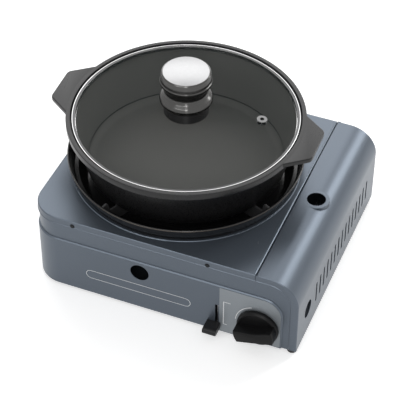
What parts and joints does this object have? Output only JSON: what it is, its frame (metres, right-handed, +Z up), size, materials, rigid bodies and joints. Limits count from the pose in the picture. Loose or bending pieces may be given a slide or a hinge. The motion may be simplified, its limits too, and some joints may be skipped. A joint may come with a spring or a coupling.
{
  "type": "portable gas stove with covered hot pot",
  "caption": "Portable table gas stove in grey steel with a black burner bowl, side cartridge bay, lock lever and ignition knob, carrying a black pot with lug handles and a glass lid.",
  "frame": {"origin": "middle of the footprint, on the table under the feet", "axes": "+X to the right side with the cartridge cover, +Y to the rear, +Z up"},
  "size_m": [0.3634, 0.3144, 0.2515],
  "materials": {
    "paint": "satin grey-blue metallic paint",
    "pale_paint": "satin paler grey control plate",
    "black_plastic": "fine satin black",
    "enamel": "glossy black enamel",
    "pot_coat": "satin black non-stick coat",
    "fin_iron": "dark grey",
    "steel": "bare steel",
    "mirror_steel": "polished",
    "aluminium": "as cast",
    "brass": "turned",
    "glass": "clear",
    "ceramic": "glazed white",
    "rubber": "matt"
  },
  "bodies": {
    "stove": {"body_shell": "paint", "base_plate": "paint", "top_plate": "paint", "control_plate": "pale_paint", "partition_wall": "paint", "rubber_feet": "rubber", "top_screws": "fin_iron", "base_screws": "fin_iron", "hinge_rod": "steel", "hinge_brackets": "steel", "burner_body": "aluminium", "burner_head": "fin_iron", "burner_stand": "steel", "mixing_tube": "aluminium", "injector": "brass", "heat_plate": "aluminium", "regulator_body": "aluminium", "regulator_cap": "aluminium", "regulator_screws": "steel", "regulator_bracket": "steel", "cartridge_cradle": "steel", "piezo_housing": "black_plastic", "electrode_insulator": "ceramic", "electrode_wire": "steel", "electrode_bracket": "steel", "ignition_lead": "rubber", "slide_guide": "steel", "pusher_guides": "steel"},
    "cover": {"cartridge_cover": "paint"},
    "knob": {"control_knob": "black_plastic", "valve_stem": "brass", "igniter_cam": "steel"},
    "plunger": {"piezo_plunger": "ceramic"},
    "lever": {"lock_lever": "black_plastic", "lever_slider": "steel"},
    "pusher": {"cartridge_pusher": "steel"},
    "bowl": {"drip_bowl": "enamel", "pot_support": "fin_iron"},
    "pot": {"hot_pot": "pot_coat", "pot_base": "pot_coat"},
    "lid": {"lid_glass": "glass", "lid_band": "mirror_steel", "steam_vent": "mirror_steel", "lid_knob": "mirror_steel", "lid_knob_base": "black_plastic", "lid_knob_washer": "rubber", "lid_knob_screw": "steel"}
  },
  "joints": [
    {"name": "cover_hinge", "type": "hinge", "parent": "stove", "child": "cover", "pos_m": [0.13059, 0.0096, 0.1098], "axis": [0, -1, 0], "range_deg": [0, 90]},
    {"name": "knob_turn", "type": "hinge", "parent": "stove", "child": "knob", "pos_m": [0.13469, -0.13615, 0.0316], "axis": [0, -1, 0], "range_deg": [0, 110]},
    {"name": "plunger_press", "type": "slide", "parent": "stove", "child": "plunger", "axis": [-1, 0, 0], "range_m": [0, 0.004]},
    {"name": "lever_lift", "type": "slide", "parent": "stove", "child": "lever", "axis": [0, 0, 1], "range_m": [0, 0.028]},
    {"name": "pusher_back", "type": "slide", "parent": "stove", "child": "pusher", "axis": [0, 1, 0], "range_m": [0, 0.008]},
    {"name": "bowl_lift", "type": "slide", "parent": "stove", "child": "bowl", "axis": [0, 0, 1], "range_m": [0, 0.06]},
    {"name": "pot_lift", "type": "slide", "parent": "bowl", "child": "pot", "axis": [0, 0, 1], "range_m": [0, 0.1]},
    {"name": "lid_lift", "type": "slide", "parent": "pot", "child": "lid", "axis": [0, 0, 1], "range_m": [0, 0.12]}
  ],
  "couplings": [
    {"joint": "plunger_press", "follows": "knob_turn", "m_per_rad": 0.0020835},
    {"joint": "pusher_back", "follows": "lever_lift", "ratio": 0.28571}
  ]
}
